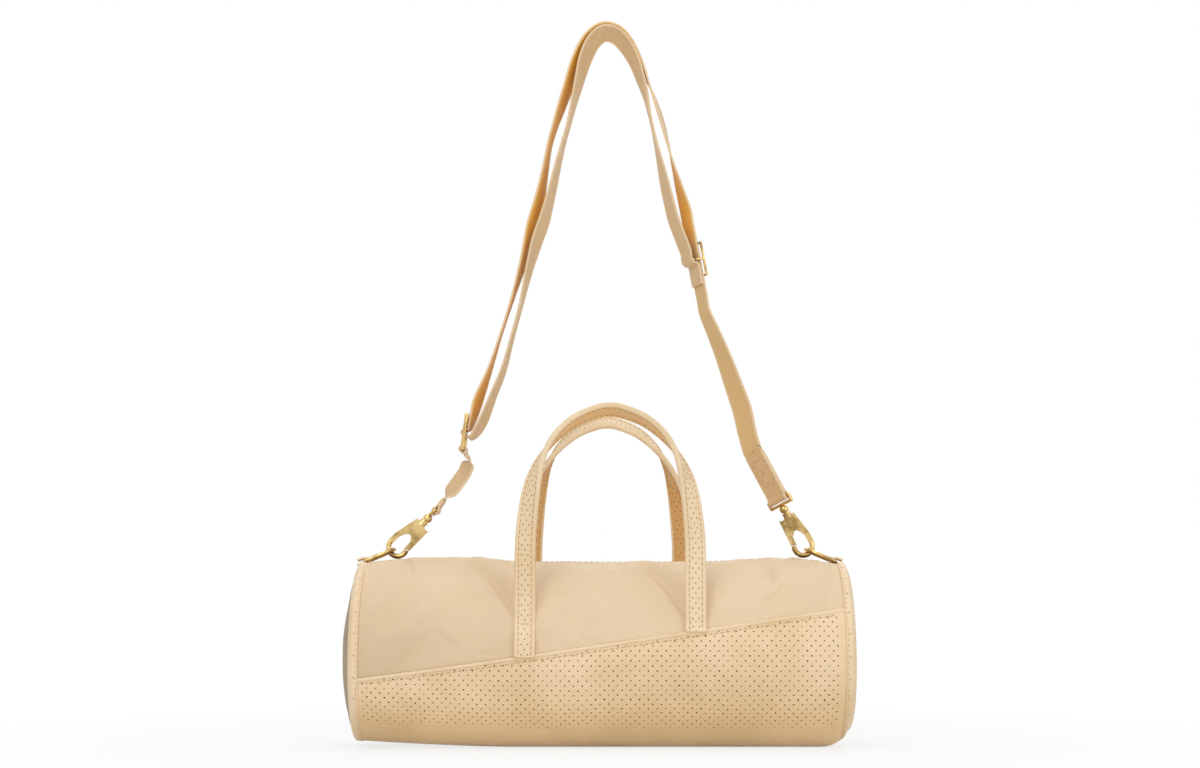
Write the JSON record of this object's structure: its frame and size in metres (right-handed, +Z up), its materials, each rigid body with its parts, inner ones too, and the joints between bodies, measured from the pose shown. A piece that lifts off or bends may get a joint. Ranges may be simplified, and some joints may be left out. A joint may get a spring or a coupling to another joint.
{
  "type": "crossbody bag",
  "caption": "Round padded bag with a diagonal perforated leather wrap, top zip, two short handles and an adjustable shoulder strap on snap hooks.",
  "frame": {"origin": "middle of the footprint, on the surface the bag stands on", "axes": "+X along the bag, -Y the front, +Z up"},
  "size_m": [0.311, 0.1162, 0.4405],
  "materials": {
    "nylon": "soft padded cloth",
    "perforated_leather": "matt, perforated all over",
    "smooth_leather": "matt",
    "end_fabric": "plain weave",
    "lining_fabric": "plain weave",
    "board": "matt",
    "zip_tape": "woven",
    "webbing": "ribbed weave",
    "gold_metal": "polished",
    "spring_steel": "brushed"
  },
  "bodies": {
    "bag": {"upper_front_panel": "nylon", "upper_back_panel": "nylon", "front_perforated_panel": "perforated_leather", "back_perforated_panel": "perforated_leather", "base_panel": "smooth_leather", "left_end_panel": "end_fabric", "right_end_panel": "end_fabric", "left_end_binding": "smooth_leather", "right_end_binding": "smooth_leather", "lining": "lining_fabric", "base_board": "board", "zip_tapes": "zip_tape", "zip_teeth": "gold_metal", "zip_stops": "gold_metal", "front_handle_anchors": "smooth_leather", "back_handle_anchors": "smooth_leather", "left_ring_tab": "smooth_leather", "right_ring_tab": "smooth_leather"},
    "zip_slider": {"zip_slider": "gold_metal"},
    "zip_pull": {"zip_pull": "gold_metal"},
    "front_handle": {"front_handle": "smooth_leather"},
    "back_handle": {"back_handle": "smooth_leather"},
    "left_ring": {"left_d_ring": "gold_metal"},
    "right_ring": {"right_d_ring": "gold_metal"},
    "strap": {"strap_webbing": "webbing", "strap_return": "webbing", "ring_fold": "webbing", "square_ring": "gold_metal", "tab_webbing": "webbing", "tab_folds": "webbing", "left_swivel_eye": "gold_metal", "right_swivel_eye": "gold_metal", "right_strap_fold": "webbing"},
    "adjuster": {"tri_glide": "gold_metal", "glide_fold": "webbing"},
    "left_hook": {"left_hook_body": "gold_metal", "left_gate_pin": "gold_metal", "left_gate_spring": "spring_steel"},
    "left_gate": {"left_hook_gate": "gold_metal"},
    "right_hook": {"right_hook_body": "gold_metal", "right_gate_pin": "gold_metal", "right_gate_spring": "spring_steel"},
    "right_gate": {"right_hook_gate": "gold_metal"}
  },
  "joints": [
    {"name": "zip_slide", "type": "slide", "parent": "bag", "child": "zip_slider", "axis": [1, 0, 0], "range_m": [-0.202, 0]},
    {"name": "zip_pull_hinge", "type": "hinge", "parent": "zip_slider", "child": "zip_pull", "pos_m": [0.1071, 0, 0.1111], "axis": [0, 1, 0], "range_deg": [0, 100]},
    {"name": "front_handle_fold", "type": "hinge", "parent": "bag", "child": "front_handle", "pos_m": [0.006, -0.05278, 0.078], "axis": [1, 0, 0], "range_deg": [-15, 105]},
    {"name": "back_handle_fold", "type": "hinge", "parent": "bag", "child": "back_handle", "pos_m": [0.0045, 0.05278, 0.078], "axis": [-1, 0, 0], "range_deg": [-15, 105]},
    {"name": "left_ring_hinge", "type": "hinge", "parent": "bag", "child": "left_ring", "pos_m": [-0.1415, 0, 0.11018], "axis": [0, -1, 0], "range_deg": [-1, 1]},
    {"name": "right_ring_hinge", "type": "hinge", "parent": "bag", "child": "right_ring", "pos_m": [0.1415, 0, 0.11018], "axis": [0, 1, 0], "range_deg": [-1, 1]},
    {"name": "strap_swing", "type": "hinge", "parent": "bag", "child": "strap", "pos_m": [0, 0, 0.1148], "axis": [1, 0, 0], "range_deg": [-30, 30]},
    {"name": "adjuster_slide", "type": "slide", "parent": "strap", "child": "adjuster", "axis": [0.1805, 0, -0.9836], "range_m": [-0.005, 0.008], "deforming": ["strap_return"]},
    {"name": "left_hook_swivel", "type": "hinge", "parent": "strap", "child": "left_hook", "pos_m": [-0.12447, 0, 0.11741], "axis": [0.7314, 0, 0.682], "range_deg": [-10, 10]},
    {"name": "right_hook_swivel", "type": "hinge", "parent": "strap", "child": "right_hook", "pos_m": [0.12447, 0, 0.11741], "axis": [-0.4695, 0, 0.8829], "range_deg": [-10, 10]},
    {"name": "left_gate_hinge", "type": "hinge", "parent": "left_hook", "child": "left_gate", "pos_m": [-0.10951, 0, 0.13054], "axis": [0, 1, 0], "range_deg": [0, 20], "stiffness_Nm_per_rad": 0.05, "deforming": ["left_gate_spring"]},
    {"name": "right_gate_hinge", "type": "hinge", "parent": "right_hook", "child": "right_gate", "pos_m": [0.1146, 0, 0.1347], "axis": [0, -1, 0], "range_deg": [0, 20], "stiffness_Nm_per_rad": 0.05, "deforming": ["right_gate_spring"]}
  ]
}
